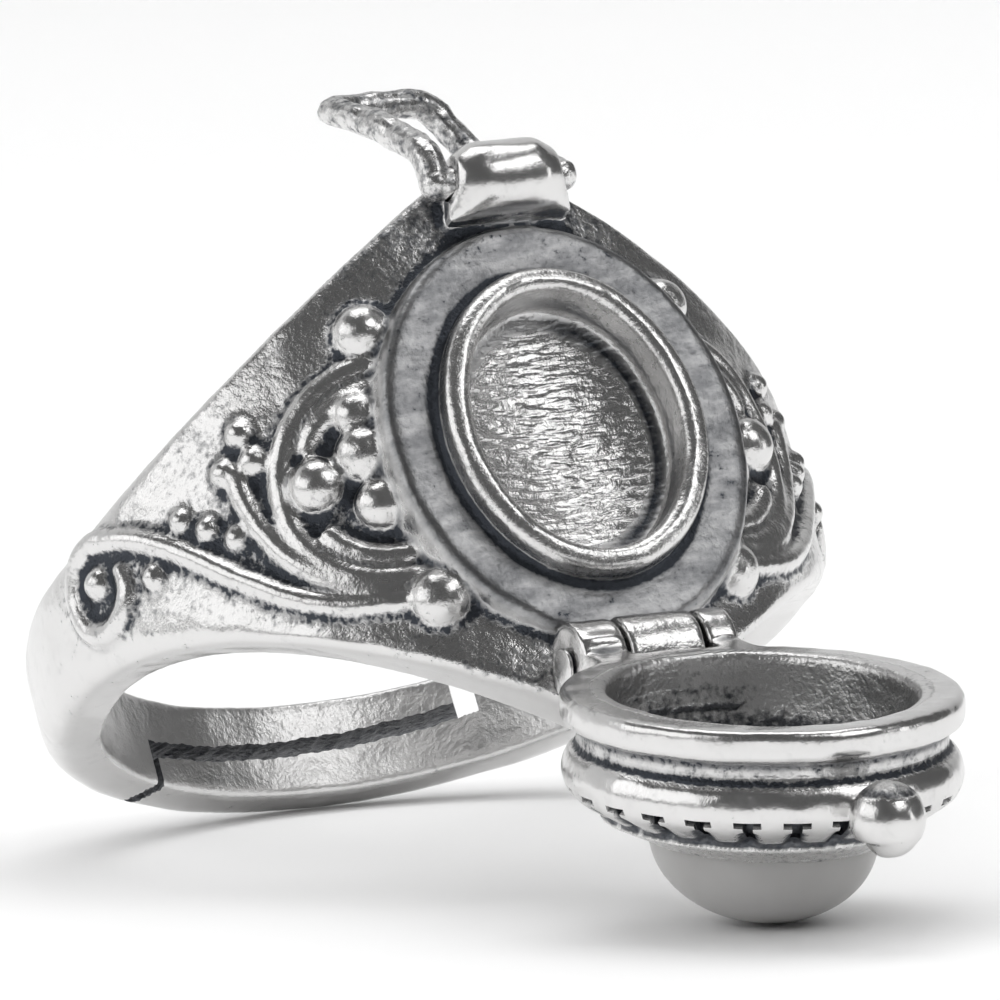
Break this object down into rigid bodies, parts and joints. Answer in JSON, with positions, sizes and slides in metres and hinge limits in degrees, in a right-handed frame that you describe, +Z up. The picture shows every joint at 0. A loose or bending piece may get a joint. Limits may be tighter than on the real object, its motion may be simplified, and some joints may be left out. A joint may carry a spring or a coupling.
{
  "type": "poison ring",
  "caption": "Adjustable poison ring with a broad front plate, an oval cup behind a hinged lid set with a cabochon, and a wire bail that drops over the lid's catch ball.",
  "frame": {"origin": "centre of the finger hole, halfway along the band's palm", "axes": "+Z up as the ring lies on its palm edge and the opened lid's stone, +Y from the lid towards the palm, +X to the right seen from the front plate"},
  "size_m": [0.0215, 0.0371, 0.02],
  "materials": {
    "silver": "polished antique silver with dark recesses",
    "stone": "milky translucent, polished"
  },
  "bodies": {
    "ring": {"ring_body": "silver", "hinge_pin": "silver"},
    "lid": {"lid": "silver", "stone": "stone"},
    "bail": {"bail": "silver"}
  },
  "joints": [
    {"name": "lid_hinge", "type": "hinge", "parent": "ring", "child": "lid", "pos_m": [0.0003, -0.01342, -0.00019], "axis": [1, 0, 0], "range_deg": [-125, 0]},
    {"name": "bail_swing", "type": "hinge", "parent": "ring", "child": "bail", "pos_m": [0.0003, -0.00606, 0.01166], "axis": [1, 0, 0], "range_deg": [0, 155]}
  ]
}
